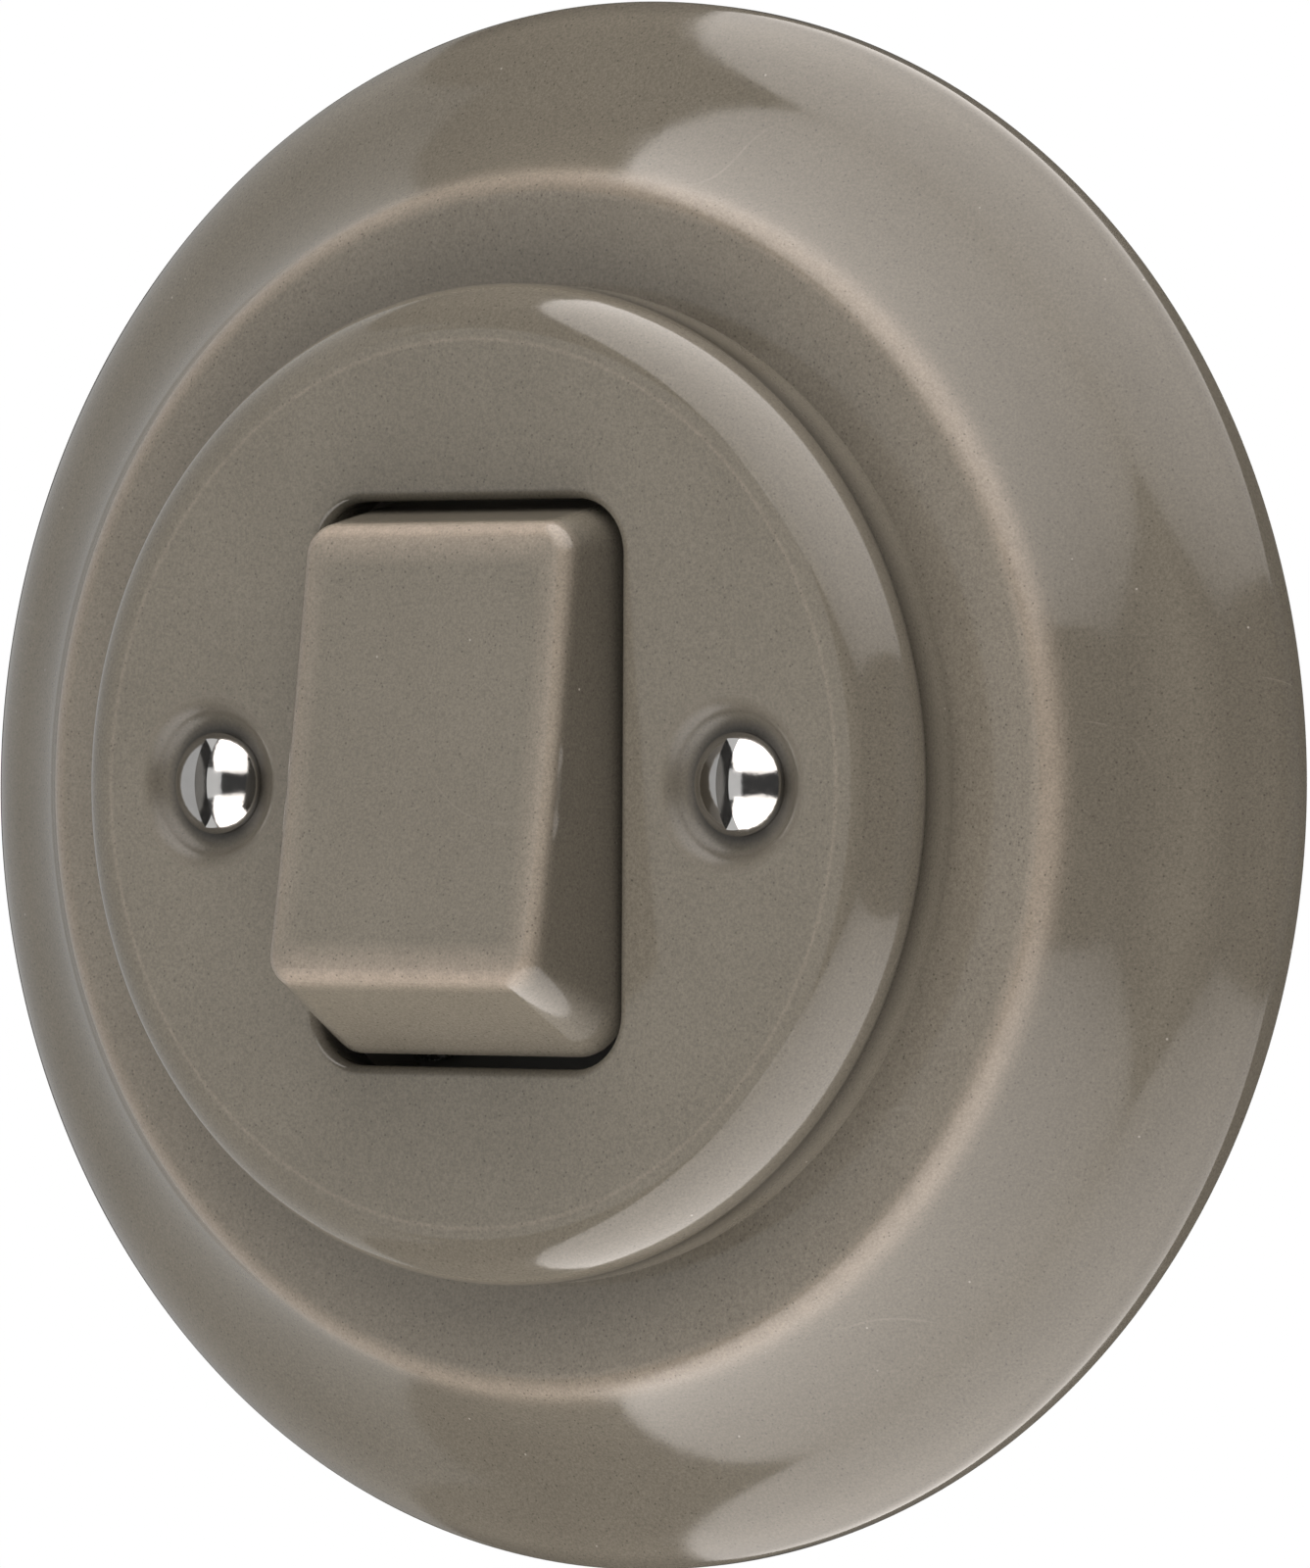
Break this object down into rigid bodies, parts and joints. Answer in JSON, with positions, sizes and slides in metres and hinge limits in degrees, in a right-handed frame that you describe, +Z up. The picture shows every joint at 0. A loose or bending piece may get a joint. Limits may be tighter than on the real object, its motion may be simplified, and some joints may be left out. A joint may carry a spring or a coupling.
{
  "type": "porcelain rocker switch",
  "caption": "Round flush wall switch with a turned porcelain rosette, a screwed-on porcelain cover and a tilting porcelain key that works a changeover contact.",
  "frame": {"origin": "on the wall, at the rosette's axis", "axes": "+X to the right, +Y into the wall, +Z up; the key faces -Y"},
  "size_m": [0.1, 0.0466, 0.1],
  "materials": {
    "porcelain": "glossy transparent glaze over a warm grey body",
    "screw_plating": "polished plating",
    "bridge_steel": "zinc-plated stamped steel",
    "spring_steel": "bright drawn wire",
    "screw_steel": "zinc-plated steel",
    "contact_brass": "stamped brass",
    "turned_brass": "turned brass",
    "contact_silver": "silver contact alloy",
    "base_moulding": "moulded thermoset, off-white",
    "carrier_moulding": "moulded polyamide, dark grey"
  },
  "bodies": {
    "switch_body": {"rosette": "porcelain", "cover_disc": "porcelain", "cover_screws": "screw_plating", "common_strip": "contact_brass", "upper_contact_strip": "contact_brass", "lower_contact_strip": "contact_brass", "fixed_contact_tips": "contact_silver", "terminal_pillars": "turned_brass", "terminal_screws": "screw_steel", "base_housing": "base_moulding", "base_cap": "base_moulding", "cap_screws": "screw_steel", "mounting_bridge": "bridge_steel", "threaded_posts": "turned_brass", "bridge_rivets": "screw_steel"},
    "rocker": {"rocker_key": "porcelain", "key_insert": "carrier_moulding", "rocker_carrier": "carrier_moulding", "plunger_spring": "spring_steel"},
    "plunger": {"plunger": "turned_brass"},
    "contact": {"contact_rocker": "contact_brass", "moving_contact_tips": "contact_silver"}
  },
  "joints": [
    {"name": "rocker_tilt", "type": "hinge", "parent": "switch_body", "child": "rocker", "pos_m": [0, -0.01165, 0], "axis": [1, 0, 0], "range_deg": [0, 16.6]},
    {"name": "plunger_slide", "type": "slide", "parent": "rocker", "child": "plunger", "axis": [0, -0.9895, 0.1444], "range_m": [0, 0.0005], "stiffness_N_per_m": 300, "springref_m": -0.002, "deforming": ["plunger_spring"]},
    {"name": "contact_tilt", "type": "hinge", "parent": "switch_body", "child": "contact", "pos_m": [0, -0.0012, 0], "axis": [1, 0, 0], "range_deg": [-16.6, 0]}
  ],
  "couplings": [
    {"joint": "contact_tilt", "follows": "rocker_tilt", "ratio": -1}
  ]
}
